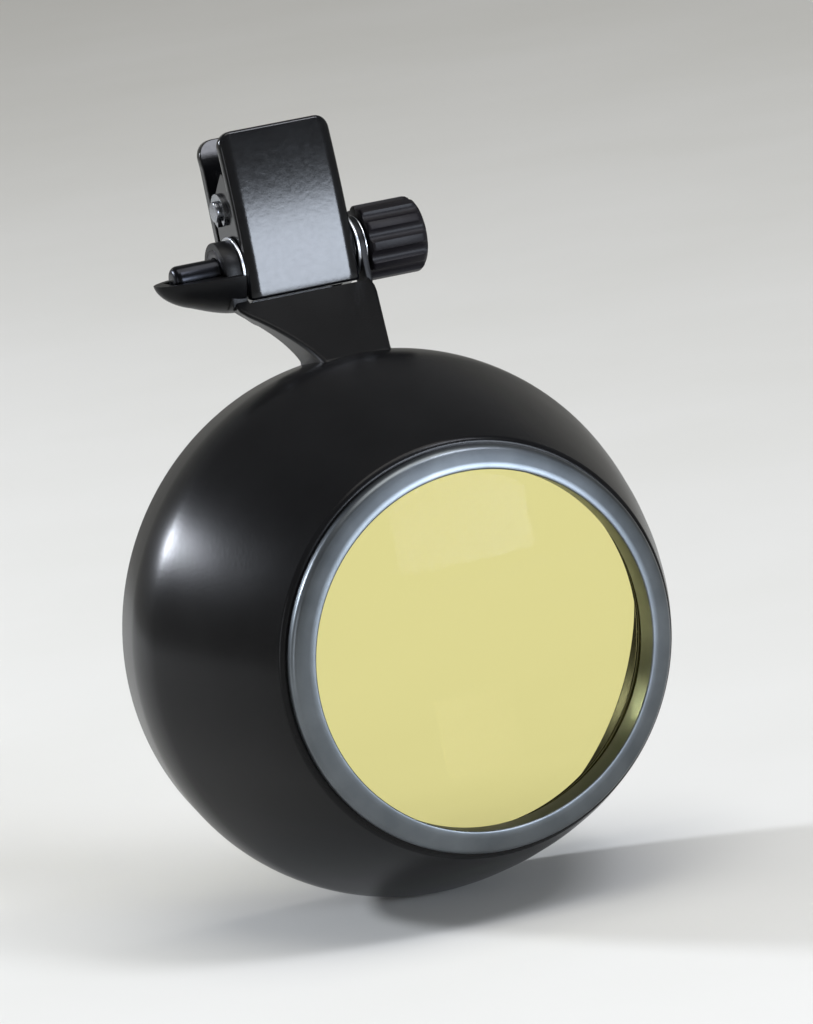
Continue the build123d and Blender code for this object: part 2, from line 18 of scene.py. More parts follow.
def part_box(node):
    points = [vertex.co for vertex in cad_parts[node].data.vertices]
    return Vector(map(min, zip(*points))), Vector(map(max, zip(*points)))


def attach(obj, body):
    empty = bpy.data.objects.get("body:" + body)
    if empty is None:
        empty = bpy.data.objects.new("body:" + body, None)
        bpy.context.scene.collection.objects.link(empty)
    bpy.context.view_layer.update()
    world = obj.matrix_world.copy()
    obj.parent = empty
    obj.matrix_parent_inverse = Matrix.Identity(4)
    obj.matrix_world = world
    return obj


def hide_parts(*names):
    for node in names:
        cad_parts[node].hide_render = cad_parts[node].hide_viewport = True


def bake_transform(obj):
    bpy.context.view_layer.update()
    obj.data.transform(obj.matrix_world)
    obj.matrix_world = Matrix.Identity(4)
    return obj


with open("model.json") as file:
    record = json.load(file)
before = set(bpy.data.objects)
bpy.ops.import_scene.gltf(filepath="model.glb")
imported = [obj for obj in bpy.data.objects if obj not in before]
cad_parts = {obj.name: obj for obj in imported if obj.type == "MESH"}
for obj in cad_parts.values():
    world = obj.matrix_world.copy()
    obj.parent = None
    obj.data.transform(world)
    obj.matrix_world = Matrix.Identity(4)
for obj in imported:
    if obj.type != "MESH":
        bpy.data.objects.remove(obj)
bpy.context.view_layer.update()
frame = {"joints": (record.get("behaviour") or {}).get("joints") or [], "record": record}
MM = 0.001

# %% [markdown]
# ## Places
#
# Three lines order the whole object: the lens axis, the hinge axle, and the pin that the two jaws
# turn on. Each gets a matrix that turns a drawing in millimetres into a place in the frame. The
# clip leans back on the hinge, so its plates get a fourth. So a piece can be drawn about its own
# axis, where its sizes are easy to read, and is put in place once.

# %% The three working axes
joints = {joint["name"]: joint for joint in frame["joints"]}
axle_point = Vector(joints["loupe_tilt"]["pos_m"])
pin_point = Vector(joints["jaw_open"]["pos_m"])
cup_low, cup_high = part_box("eye_cup")
rim_behind = 4.0  # from the cup's largest circle back to its rim
cup_point = Vector((0, cup_high.y - rim_behind * MM, (cup_low.z + cup_high.z) / 2))
grip_axis = Vector(frame["record"]["mounts"][0]["axis"])
clip_lean = math.atan2(grip_axis.y, grip_axis.z) + math.pi

in_mm = Matrix.Scale(MM, 4)
along_x = Matrix(((0, 0, 1, 0), (1, 0, 0, 0), (0, 1, 0, 0), (0, 0, 0, 1)))
cup_place = Matrix.Translation(cup_point) @ Matrix.Rotation(math.radians(90), 4, "X") @ in_mm
axle_place = Matrix.Translation(axle_point) @ along_x @ in_mm
pin_place = Matrix.Translation(pin_point) @ along_x @ in_mm
clip_place = Matrix.Translation(axle_point) @ Matrix.Rotation(-clip_lean, 4, "X") @ in_mm
print("cup centre", cup_point, "clip leans back", round(math.degrees(clip_lean), 2), "degrees")

# %% [markdown]
# ## Camera
#
# The loupe is seen from in front, from the left and a little from above, and it stands turned in
# the picture. A long lens from more than half a metre keeps the round parts round. Three turns, one
# after another, aim the camera: round the loupe, up over it, and the roll of the picture.

# %% Set the camera
view_azimuth = math.radians(-21.2)
view_elevation = math.radians(9.8)
view_roll = math.radians(8.2)
view_distance = 600 * MM
view_width = 57 * MM  # how much of the world the picture is wide
view_shift_right = 1.3 * MM
view_shift_up = 7.6 * MM
film_width = 36.0

around = Matrix.Rotation(view_azimuth, 4, "Z")
over = Matrix.Rotation(math.radians(90) - view_elevation, 4, "X")
roll = Matrix.Rotation(-view_roll, 4, "Z")
away = Matrix.Translation((view_shift_right, view_shift_up, view_distance))


def show(name, data):
    """An object that shows a mesh, a lamp or a camera, linked into the scene."""
    made = bpy.data.objects.new(name, data)
    bpy.context.scene.collection.objects.link(made)
    return made


camera_data = bpy.data.cameras.new("camera")
camera_data.sensor_fit = "HORIZONTAL"
camera_data.sensor_width = film_width
camera_data.lens = film_width * view_distance / view_width
camera_data.clip_start = view_distance / 100
camera_data.clip_end = view_distance * 100
camera = show("camera", camera_data)
camera.matrix_world = Matrix.Translation(cup_point) @ around @ over @ roll @ away
bpy.context.scene.camera = camera
print("camera lens", round(camera_data.lens), "mm")

# %% [markdown]
# ## Finishes: the colour and node helpers
#
# Every finish here is drawn by nodes, with no pictures. Colours are written the way a paint chart
# gives them, as hex values, and one function turns them into the linear light values that the
# renderer mixes. A second function adds a node, sets it and wires it up in one line, so that each
# recipe below reads as a list of what the surface has.

# %% Colour, node and pattern helpers
def linear(code):
    """The linear colour of an sRGB hex value such as 'd2cdc0'."""
    parts = [int(code[i:i + 2], 16) / 255 for i in (0, 2, 4)]
    return [p / 12.92 if p <= 0.04045 else ((p + 0.055) / 1.055) ** 2.4 for p in parts] + [1.0]


def add(tree, kind, values=None, links=None, **settings):
    """One node, with its properties, its socket values and the outputs that feed it."""
    made = tree.nodes.new(kind)
    for name, value in settings.items():
        setattr(made, name, value)
    for socket, value in (values or {}).items():
        made.inputs[socket].default_value = value
    for socket, source in (links or {}).items():
        tree.links.new(source, made.inputs[socket])
    return made


def per(size_mm):
    """The scale of a pattern that repeats about once in this many millimetres."""
    return 1 / (size_mm * MM)


def surface(tree):
    """The inputs of a material's own shader."""
    return tree.nodes["Principled BSDF"].inputs


def start(name, **sockets):
    """A new material, with constant values on its shader's own sockets."""
    made = bpy.data.materials.new(name)
    made.use_nodes = True
    for socket, value in sockets.items():
        surface(made.node_tree)[socket.replace("_", " ")].default_value = value
    where = add(made.node_tree, "ShaderNodeTexCoord").outputs["Object"]
    return made, made.node_tree, where


def two_tones(tree, pattern, dark, light):
    """Colour that wanders between two close tones, as a pattern rises and falls."""
    ramp = add(tree, "ShaderNodeValToRGB", links={"Fac": pattern.outputs["Fac"]})
    ramp.color_ramp.elements[0].color = linear(dark)
    ramp.color_ramp.elements[1].color = linear(light)
    ramp.color_ramp.elements[0].position = 0.3
    ramp.color_ramp.elements[1].position = 0.7
    tree.links.new(ramp.outputs["Color"], surface(tree)["Base Color"])


def gloss_between(tree, pattern, low, high):
    """Roughness that wanders between two values."""
    ends = {"To Min": low, "To Max": high}
    spread = add(tree, "ShaderNodeMapRange", ends, {"Value": pattern.outputs["Fac"]})
    tree.links.new(spread.outputs["Result"], surface(tree)["Roughness"])


def relief(tree, pattern, depth_mm):
    """Small relief in the surface, as deep as the real one."""
    bump = add(tree, "ShaderNodeBump", {"Distance": depth_mm * MM}, {"Height": pattern.outputs["Fac"]})
    tree.links.new(bump.outputs["Normal"], surface(tree)["Normal"])


print("helpers ready")

# %% [markdown]
# ## Moulded black plastics
#
# The cup, the arm and the knob are injection-moulded ABS. The mould's surface decides the look: a
# polished mould gives the cup its soft round highlight, and a lightly etched one leaves a fine
# grain that scatters light a little. ABS has an IOR near 1.53, and black pigment leaves almost
# nothing under the reflection. A pale room would grey it all over, so its specular level is turned
# down to a quarter, and its one lamp is strong. Handling makes the gloss uneven over a few
# millimetres, so the roughness wanders slowly too.

# %% Moulded plastic
def moulded_plastic(name, dark, light, grain_mm, grain_depth_mm, gloss):
    """Black ABS from a mould: slow changes of tone and gloss, and the mould's fine grain."""
    made, tree, where = start(name, IOR=1.53, Roughness=gloss[0], Specular_IOR_Level=0.13)
    slow = add(tree, "ShaderNodeTexNoise", {"Scale": per(6.0), "Detail": 3.0}, {"Vector": where})
    fine = add(tree, "ShaderNodeTexNoise", {"Scale": per(grain_mm), "Detail": 2.0}, {"Vector": where})
    two_tones(tree, slow, dark, light)
    gloss_between(tree, slow, *gloss)
    relief(tree, fine, grain_depth_mm)
    return made


# Cup: polished mould, softened by use. It gives one soft highlight and deep black elsewhere.
cup_plastic = moulded_plastic("moulded_abs_satin_black", "0b0b0c", "101011", 0.25, 0.004, (0.22, 0.28))
# Arm: the same plastic from a lightly etched mould, duller than the cup.
arm_plastic = moulded_plastic("moulded_abs_etched_black", "0c0c0d", "111112", 0.18, 0.006, (0.34, 0.42))
# Knob: a slightly violet black, worn as dull as the arm by fingers.
knob_plastic = moulded_plastic("moulded_abs_knob_black", "0d0b0e", "151317", 0.2, 0.006, (0.34, 0.44))
print("plastics:", cup_plastic.name, arm_plastic.name, knob_plastic.name)

# %% [markdown]
# ## Turned and anodised aluminium
#
# The ring that holds the lens is turned on a lathe, so its face carries fine rings about the lens
# axis, a tenth of a millimetre apart. Anodising dyes it grey and keeps the metal's shine. The real
# rings are too fine to show at this size, so they are drawn about a millimetre apart, as soft waves
# of gloss and height. A wave pattern in rings needs its axis along the lens, so a Mapping node moves
# it there. Its size is given as the width of one radian, and a full ring is 2 pi of those.

# %% Turned metal
wave_radians = 20  # that a wave of scale 1 runs through in each unit


def turned_metal(name, dark, light, place, radian_mm, gloss, depth_mm):
    """Metal from the lathe, with rings about its own axis and cloudy changes of tone."""
    made, tree, where = start(name, Metallic=1.0, Roughness=gloss[0])
    centred = add(
        tree, "ShaderNodeMapping",
        {"Location": place.translation, "Rotation": place.to_euler()},
        {"Vector": where}, vector_type="TEXTURE",
    )
    rings = add(
        tree, "ShaderNodeTexWave",
        {"Scale": per(radian_mm) / wave_radians, "Distortion": 0.4, "Detail": 2.0, "Detail Scale": 3.0},
        {"Vector": centred.outputs["Vector"]}, wave_type="RINGS", rings_direction="Z",
    )
    cloud = add(tree, "ShaderNodeTexNoise", {"Scale": per(2.5), "Detail": 5.0}, {"Vector": where})
    two_tones(tree, cloud, dark, light)
    gloss_between(tree, rings, *gloss)
    relief(tree, rings, depth_mm)
    return made


# Lens ring: grey anodising over turned aluminium, a soft sheen with bright edges.
ring_metal = turned_metal(
    "anodised_turned_aluminium", "5b6064", "696e72", cup_place, 0.2, (0.34, 0.42), 0.003,
)
# Washers: zinc-bright steel, stamped and tumbled.
washer_metal = turned_metal(
    "bright_tumbled_steel", "b9bcc0", "c9ccd0", axle_place, 0.15, (0.22, 0.32), 0.002,
)
# Tilt screw: steel turned and blackened, so that only its rounded end catches the light.
screw_metal = turned_metal(
    "dark_turned_steel", "1f2023", "2a2b2f", axle_place, 0.15, (0.24, 0.34), 0.002,
)
# Insert: turned brass with a black nickel plate, so it hardly shows round the screw.
insert_metal = turned_metal(
    "black_nickel_on_brass", "232226", "2c2b2f", axle_place, 0.15, (0.3, 0.4), 0.002,
)
# Jaw pin and its clip: drawn steel with a bright finish.
pin_metal = turned_metal("drawn_bright_steel", "77797d", "86888c", pin_place, 0.15, (0.2, 0.3), 0.002)
# Spring: hard-drawn wire, a little brighter than the pin.
wire_metal = turned_metal(
    "hard_drawn_spring_wire", "96989c", "a8aaae", pin_place, 0.1, (0.22, 0.32), 0.001,
)
# Arm screws: steel blackened in oil.
black_screw_metal = turned_metal(
    "oil_blackened_steel", "37383b", "46474b", cup_place, 0.2, (0.3, 0.42), 0.002,
)
print("metals:", ring_metal.name, "to", black_screw_metal.name)

# %% [markdown]
# ## Enamelled spring steel
#
# Both jaws are stamped from spring steel and finished in hard glossy black enamel. The enamel is
# what the eye reads: it is black, yet it mirrors a lamp almost white. Stoved enamel is never quite
# even. Its tone wanders a little, and a fine texture makes the mirrored lamp look frosted. Its
# specular level is turned down as the plastics' is, to half the usual.

# %% Stoved enamel
jaw_enamel, tree, where = start("stoved_enamel_black", IOR=1.55, Specular_IOR_Level=0.25)
cloud = add(tree, "ShaderNodeTexNoise", {"Scale": per(1.6), "Detail": 2.0}, {"Vector": where})
speck = add(tree, "ShaderNodeTexNoise", {"Scale": per(0.35), "Detail": 4.0}, {"Vector": where})
two_tones(tree, cloud, "09090b", "0e0f11")
gloss_between(tree, speck, 0.13, 0.22)
relief(tree, speck, 0.004)
print("enamel:", jaw_enamel.name)

# %% [markdown]
# ## Rubber
#
# The pads that grip the glasses and the gasket behind the lens are moulded rubber. Rubber is dull,
# because its surface scatters light at the scale of its fillers, and its black is greyer than that
# of plastic.

# %% Rubber
def rubber(name, dark, light):
    """Moulded rubber: dull, greyish, with a fine sandy grain."""
    made, tree, where = start(name, IOR=1.5, Roughness=0.75)
    grain = add(tree, "ShaderNodeTexNoise", {"Scale": per(0.12), "Detail": 3.0}, {"Vector": where})
    two_tones(tree, grain, dark, light)
    gloss_between(tree, grain, 0.68, 0.85)
    relief(tree, grain, 0.01)
    return made


gasket_rubber = rubber("moulded_rubber_black", "141414", "1c1c1c")
pad_rubber = rubber("moulded_rubber_grey", "2a2a2c", "38383a")
print("rubbers:", gasket_rubber.name, pad_rubber.name)

# %% [markdown]
# ## Lens glass
#
# The lens is crown glass, ground and polished on both sides, with an IOR of 1.52. It has a faint
# straw tint, which warms what is seen through it. A coating cuts its reflections to a small part and
# leaves them faintly violet, so the tint of the specular is dark. A touch of haze from wiping keeps
# the glass from looking like an empty hole.

# %% Polished glass
glass, tree, where = start(
    "polished_crown_glass", IOR=1.52, Roughness=0.0, Transmission_Weight=1.0,
    Base_Color=linear("f0e8a0"), Specular_Tint=linear("241e2a"),
)
wipe = add(
    tree, "ShaderNodeTexNoise",
    {"Scale": per(9.0), "Detail": 4.0, "Distortion": 1.5}, {"Vector": where},
)
gloss_between(tree, wipe, 0.0, 0.02)
print("glass:", glass.name)

# %% [markdown]
# ## Turning on the lathe
#
# Most pieces here are turned: cup, lens, ring, washers, screw and pin. One helper does the lathe's
# work. It takes the corners of half the section, each with a distance from the axis, a distance
# along it, and how far the corner is eased. The bevel operator rounds the corners of the bare
# outline, and the spin operator sweeps it round the axis. With use_merge the last step closes on
# the first, so no seam is left open.

# %% The lathe helper and the finishing helper
sharp_turn = 38.0  # degrees: an edge that turns more than this shows as an edge
fine_turn = 30.0  # the same, for pieces with shallow edges
weld_gap = 1e-4  # millimetres: points nearer than this become one


def mark_sharp(bm, sharp_degrees):
    """Shades every face smooth, and marks the edges that turn more than an angle as sharp."""
    for face in bm.faces:
        face.smooth = True
    for edge in bm.edges:
        edge.smooth = len(edge.link_faces) == 2 and edge.calc_face_angle(0) < math.radians(sharp_degrees)


def settle(bm, name, place, body, node, finish, sharp_degrees=sharp_turn):
    """Puts a drawn shape in place as a finished piece that stands for its node."""
    bmesh.ops.transform(bm, matrix=place, verts=bm.verts)
    mark_sharp(bm, sharp_degrees)
    mesh = bpy.data.meshes.new(name)
    bm.to_mesh(mesh)
    bm.free()
    mesh.materials.append(finish)
    piece = show(name, mesh)
    if body:
        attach(piece, body)
    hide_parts(node)
    print(name, "faces:", len(mesh.polygons))
    return piece


def round_off(bm, parts, affect, ease, steps):
    """Rounds corner points (VERTICES) or edges (EDGES)."""
    bmesh.ops.bevel(
        bm, geom=parts, affect=affect, offset=ease, offset_type="OFFSET",
        segments=steps, profile=0.5, material=-1,
    )


def turn_outline(corners, closed=True, steps=128, ease_steps=6):
    """A bmesh spun about z from (radius, along, ease) corners in millimetres."""
    bm = bmesh.new()
    points = [bm.verts.new((radius, 0, along)) for radius, along, ease in corners]
    pairs = list(zip(points, points[1:] + points[:1]))
    for a, b in pairs if closed else pairs[:-1]:
        bm.edges.new((a, b))
    for point, (radius, along, ease) in zip(points, corners):
        if ease:
            round_off(bm, [point], "VERTICES", ease, ease_steps)
    bmesh.ops.spin(
        bm, geom=bm.verts[:] + bm.edges[:], cent=(0, 0, 0), axis=(0, 0, 1),
        angle=2 * math.pi, steps=steps, use_merge=True,
    )
    bmesh.ops.remove_doubles(bm, verts=bm.verts, dist=weld_gap)
    bmesh.ops.dissolve_degenerate(bm, edges=bm.edges, dist=weld_gap / 10)
    bmesh.ops.recalc_face_normals(bm, faces=bm.faces)
    return bm


print("lathe ready")

# %% [markdown]
# ## Eye cup
#
# The cup is the black dome that shuts out side light, with the lens in its nose and an open back
# for the eye. On the real thing it is one moulding, so it is turned here from one section that
# runs up the outside, over the nose, down the lens seat and back along the inside. The dome's side
# isn't a straight cone: it swells by a third of a millimetre, which is what rounds the highlight.

# %% Turn the eye cup
rim_radius = 18.5
shoulder = (19.5, 1.9)
shoulder_ease = 2.08
nose = (14.5, 16.3)
dome_swell = 0.35
wall = 1.6
rim_wall = 2.2
seat_ahead = 13.1
step_ahead = 12.1
aperture = 12.72
bore = 13.2
dome_rows = 5


def dome_point(share):
    """A point on the swelling side, from the shoulder at 0 to the nose at 1."""
    straight = Vector(shoulder).lerp(Vector(nose), share)
    slope = (Vector(nose) - Vector(shoulder)).normalized()
    outward = Vector((slope.y, -slope.x))
    return straight + outward * dome_swell * 4 * share * (1 - share)


inner_shoulder = (shoulder[0] - wall, shoulder[1])
step_share = (step_ahead - shoulder[1]) / (nose[1] - shoulder[1])
inner_step_radius = shoulder[0] + (nose[0] - shoulder[0]) * step_share - wall
cup_section = [(rim_radius, -rim_behind, 0.6), (*shoulder, shoulder_ease)]
cup_section += [(*dome_point(row / dome_rows), 0) for row in range(1, dome_rows)]
cup_section += [
    (*nose, 0.3),
    (bore, nose[1], 0.12),
    (bore, seat_ahead, 0),
    (aperture, seat_ahead, 0.1),
    (aperture, step_ahead, 0.8),
    (inner_step_radius, step_ahead, 0.5),
    (*inner_shoulder, shoulder_ease),
    (rim_radius - rim_wall, -rim_behind, 0.5),
]
outer_rows = dome_rows + 2
cup_bm = turn_outline(cup_section, steps=192, ease_steps=10)
eye_cup = settle(cup_bm, "eye_cup_shell", cup_place, "loupe", "eye_cup", cup_plastic)

# %% [markdown]
# Two screws pass out through the cup's roof into the arm. Inside, each has a flat-bottomed pocket
# for its head, because a screw can't seat on a curved wall. The pockets are cut the way a counterbore
# cuts them, with a Boolean, and the result is kept as the cup's mesh.

# %% Counterbore the cup for its two screws
def bar(bm, radius, length, segments, middle, turned=None):
    """Adds a plain bar with flat ends, which lies along z unless it is turned."""
    made = bmesh.ops.create_cone(
        bm, cap_ends=True, segments=segments, radius1=radius, radius2=radius, depth=length,
    )
    if turned:
        bmesh.ops.rotate(bm, verts=made["verts"], matrix=turned)
    bmesh.ops.translate(bm, verts=made["verts"], vec=middle)


def carve(piece, place, tool_bm, operation="DIFFERENCE"):
    """Cuts a shape out of a piece, or joins it on, and keeps the resulting mesh."""
    bmesh.ops.transform(tool_bm, matrix=place, verts=tool_bm.verts)
    tool_mesh = bpy.data.meshes.new("tool")
    tool_bm.to_mesh(tool_mesh)
    tool_bm.free()
    tool = show("tool", tool_mesh)
    work = piece.modifiers.new("carve", "BOOLEAN")
    work.operation = operation
    work.solver = "EXACT"
    work.object = tool
    graph = bpy.context.evaluated_depsgraph_get()
    result = bpy.data.meshes.new_from_object(piece.evaluated_get(graph))
    piece.modifiers.clear()
    piece.data = result
    bpy.data.objects.remove(tool)


pocket_radius = 1.05
pocket_roof = 17.75  # above the lens axis
pocket_depth = 2.0
pocket_behind = 2.4  # behind the cup's largest circle
pocket_half_pitch = 1.2
upright_turn = Matrix.Rotation(math.radians(90), 3, "X")
pockets = bmesh.new()
for side in (-1, 1):
    middle = (side * pocket_half_pitch, pocket_roof - pocket_depth / 2, -pocket_behind)
    bar(pockets, pocket_radius, pocket_depth, 48, middle, upright_turn)
carve(eye_cup, cup_place, pockets)
print("cup faces after the pockets:", len(eye_cup.data.polygons))

# %% [markdown]
# ## Lens
#
# A single biconvex lens, about 26 mm across and 4 mm thick in the middle. Its faces are parts of
# large spheres, so each is a few points on an arc, and a narrow bevel keeps the ground edge from
# chipping. The outline is left open at the axis, where the spin's poles close it.

# %% Turn the lens
lens_radius = 13.1
lens_back = 13.6
lens_front = 15.5
lens_curve = 75.0
lens_bevel = 0.2
face_rows = 14
face_radius = lens_radius - lens_bevel


def bulge(radius):
    """How far the lens face stands out at a distance from its axis."""
    edge = math.sqrt(lens_curve**2 - lens_radius**2)
    return math.sqrt(lens_curve**2 - radius**2) - edge


face_radii = [face_radius * row / face_rows for row in range(face_rows + 1)]
lens_section = [(radius, lens_back - bulge(radius), 0) for radius in face_radii]
lens_section += [(lens_radius, lens_back + lens_bevel, 0), (lens_radius, lens_front - lens_bevel, 0)]
lens_section += [(radius, lens_front + bulge(radius), 0) for radius in reversed(face_radii)]
lens_bm = turn_outline(lens_section, closed=False, steps=160)
settle(lens_bm, "lens_glass", cup_place, "loupe", "lens", glass, fine_turn)

# %% [markdown]
# ## Lens ring and gasket
#
# The ring screws into the nose and presses the lens on its rubber gasket. Its face slopes up to a
# narrow flat lip at the bore. The corner between them and the one outside are rounded, and each
# draws a thin bright line round the grey face.

# %% Turn the ring and the gasket
ring_radius = 14.1
ring_bore = 12.45
ring_side_top = nose[1] + 0.95
ring_top = nose[1] + 1.4
ring_lip = 0.35
skirt_out = 13.18
skirt_in = 12.58
lens_clear = 0.03
seat_clear = 0.01  # between a face and the seat that it is screwed down on
ring_section = [
    (skirt_in, lens_front + bulge(skirt_in) + lens_clear, 0),
    (skirt_out, lens_front + lens_bevel + lens_clear, 0),
    (skirt_out, nose[1] + seat_clear, 0),
    (ring_radius, nose[1] + seat_clear, 0.08),
    (ring_radius, ring_side_top, 0.35),
    (ring_bore + ring_lip, ring_top, 0.2),
    (ring_bore, ring_top, 0.1),
    (ring_bore, lens_front + bulge(ring_bore) + lens_clear, 0.05),
]
ring_bm = turn_outline(ring_section, steps=192, ease_steps=8)
settle(ring_bm, "lens_ring_turned", cup_place, "loupe", "lens_ring", ring_metal)

gasket_in = aperture + 0.05
gasket_section = [
    (gasket_in, seat_ahead, 0.05),
    (lens_radius, seat_ahead, 0),
    (lens_radius, lens_back, 0),
    (gasket_in, lens_back - bulge(gasket_in) - lens_clear, 0.05),
]
gasket_bm = turn_outline(gasket_section, ease_steps=3)
settle(
    gasket_bm, "lens_gasket_ring", cup_place, "loupe", "lens_gasket", gasket_rubber,
)

# %% [markdown]
# ## Washers, sleeve and insert on the axle
#
# The hinge stack is a row of plain rings on one axle: a sleeve inside the clip, a thrust washer at
# each side, a plated insert that takes the thread, and a dished washer that keeps the knob tight.
# Each is a small section turned about the axle, with its edges eased as tumbling leaves them. The
# frame says where each one lies along the axle.

# %% Turn the rings of the hinge
hole_radius = 1.05
washer_radius = 2.3
sleeve_radius = 1.6
dish_radius = 2.1
ring_ease = 0.04
dish_ease = 0.03
dish_sheet = 0.12


def span(node):
    """Where a node starts and ends along the axle, in millimetres."""
    low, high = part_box(node)
    return low.x / MM, high.x / MM


def flat_ring(name, node, outer, finish, body):
    """A plain ring between a node's two ends."""
    near, far = span(node)
    corners = ((hole_radius, near), (outer, near), (outer, far), (hole_radius, far))
    section = [(radius, along, ring_ease) for radius, along in corners]
    ring_bm = turn_outline(section, steps=72, ease_steps=3)
    settle(ring_bm, name, axle_place, body, node, finish)


for node in ("thrust_washer_right", "thrust_washer_left"):
    flat_ring(node + "_stamped", node, washer_radius, washer_metal, "loupe")
flat_ring("axle_sleeve_turned", "axle_sleeve", sleeve_radius, washer_metal, "clip")
flat_ring("thread_insert_turned", "thread_insert", sleeve_radius, insert_metal, "loupe")
dish_near, dish_far = span("spring_washer")
dish_section = [
    (dish_radius, dish_near, dish_ease),
    (dish_radius, dish_near + dish_sheet, dish_ease),
    (hole_radius, dish_far, dish_ease),
    (hole_radius, dish_far - dish_sheet, dish_ease),
]
dish_bm = turn_outline(dish_section, steps=72, ease_steps=3)
settle(
    dish_bm, "spring_washer_dished", axle_place, "loupe", "spring_washer", washer_metal,
)

# %% [markdown]
# ## Tilt screw
#
# The screw is the hinge's axle. Its six-sided head is buried in the knob, and its rounded end lies
# in the open cradle on the other side, where it catches the light. The shank is turned, and the
# head is a six-sided bar with its edges eased, joined on as on a forged screw.

# %% Make the tilt screw
screw_near, screw_far = span("tilt_screw")
axle_radius = 1.0
head_radius = 1.5
head_length = 3.0
head_start = screw_far - head_length
head_lap = 0.2  # how far the shank runs up into the head
head_ease = 0.06
shank_section = [
    (0, screw_near, 0),
    (axle_radius, screw_near, 0.5),
    (axle_radius, head_start + head_lap, 0),
    (0, head_start + head_lap, 0),
]
screw_bm = turn_outline(shank_section, closed=False, steps=72, ease_steps=8)
tilt_screw = settle(
    screw_bm, "tilt_screw_shank", axle_place, "knob", "tilt_screw", screw_metal,
)
head_bm = bmesh.new()
head_turn = Matrix.Rotation(math.radians(30), 3, "Z")
bar(head_bm, head_radius, head_length, 6, (0, 0, head_start + head_length / 2), head_turn)
round_off(head_bm, head_bm.edges[:], "EDGES", head_ease, 2)
carve(tilt_screw, axle_place, head_bm, "UNION")
print("screw from", round(screw_near, 2), "to", round(screw_far, 2), "mm along the axle")

# %% [markdown]
# ## Knob and cap
#
# The knob is a short moulded grip with eleven scooped flutes, rounded at both ends. It is turned
# plain first. Then every point that stands further out than its flute is drawn in to it, so the
# flutes run out through the rounded ends just as a round cutter leaves them.

# %% Make the knob and its cap
knob_near, knob_far = span("tilt_knob")
knob_radius = 2.75
flutes = 11
flute_radius = 0.6
flute_deep = 0.3
flute_centre = knob_radius + flute_radius - flute_deep
steps_per_flute = 16
cap_radius = 1.45
cap_gap = 0.03
cap_crown = 0.01
cap_near = span("knob_cap")[0]
knob_section = [
    (hole_radius, knob_near, 0),
    (knob_radius, knob_near, 0.22),
    (knob_radius, knob_far, 0.55),
    (cap_radius + cap_gap, knob_far, 0.08),
    (cap_radius + cap_gap, cap_near, 0),
    (hole_radius, cap_near, 0),
]
knob_bm = turn_outline(knob_section, steps=flutes * steps_per_flute, ease_steps=4)


def cut_across(bm, point, normal, clear=False):
    """Cuts every face that a plane crosses, and may clear away what lies past the plane."""
    parts = bm.verts[:] + bm.edges[:] + bm.faces[:]
    bmesh.ops.bisect_plane(bm, geom=parts, plane_co=point, plane_no=normal, clear_outer=clear)


cut_across(knob_bm, (0, 0, (knob_near + knob_far) / 2), (0, 0, 1))
for point in knob_bm.verts:
    radius = math.hypot(point.co.x, point.co.y)
    turn = math.atan2(point.co.y, point.co.x)
    off = (turn * flutes / (2 * math.pi) + 0.5) % 1 - 0.5
    angle = off * 2 * math.pi / flutes
    across = flute_centre * math.sin(angle)
    if abs(across) < flute_radius:
        limit = flute_centre * math.cos(angle) - math.sqrt(flute_radius**2 - across**2)
        if radius > limit:
            point.co.x *= limit / radius
            point.co.y *= limit / radius
settle(
    knob_bm, "tilt_knob_fluted", axle_place, "knob", "tilt_knob", knob_plastic, fine_turn,
)

cap_section = [
    (0, cap_near, 0),
    (cap_radius, cap_near, 0),
    (cap_radius, knob_far - cap_gap, 0.12),
    (cap_radius / 2, knob_far - cap_crown, 0.3),
    (0, knob_far, 0),
]
cap_bm = turn_outline(cap_section, closed=False, steps=72)
settle(cap_bm, "knob_cap_disc", axle_place, "knob", "knob_cap", knob_plastic)

# %% [markdown]
# ## Jaw plates
#
# Each jaw starts as a flat blank of spring steel. The front one is pressed into a shallow curve and
# its long sides are rolled over. The rear one is stepped back below, to reach its pad. Both are made
# the way the press makes them: a blank with rounded corners, a thickness, eased edges, and then a
# bend. Rows are cut across the blank first, because a face can bend only where it has points.

# %% The press helper
sliver = 0.001 * MM  # faces thinner than this are cleared


def ease_sharp(bm, ease, steps, above_degrees=45.0):
    """Rounds every edge that turns more than an angle."""
    sharp = [
        edge for edge in bm.edges
        if len(edge.link_faces) == 2 and edge.calc_face_angle(0) > math.radians(above_degrees)
    ]
    round_off(bm, sharp, "EDGES", ease, steps)


def even_shading(piece):
    """Clears slivers off a carved piece, marks its edges again, and lets flat faces set the shading."""
    bm = bmesh.new()
    bm.from_mesh(piece.data)
    bmesh.ops.remove_doubles(bm, verts=bm.verts, dist=sliver)
    bmesh.ops.dissolve_degenerate(bm, edges=bm.edges, dist=sliver)
    mark_sharp(bm, sharp_turn)
    bm.to_mesh(piece.data)
    bm.free()
    even = piece.modifiers.new("even shading", "WEIGHTED_NORMAL")
    even.keep_sharp = True


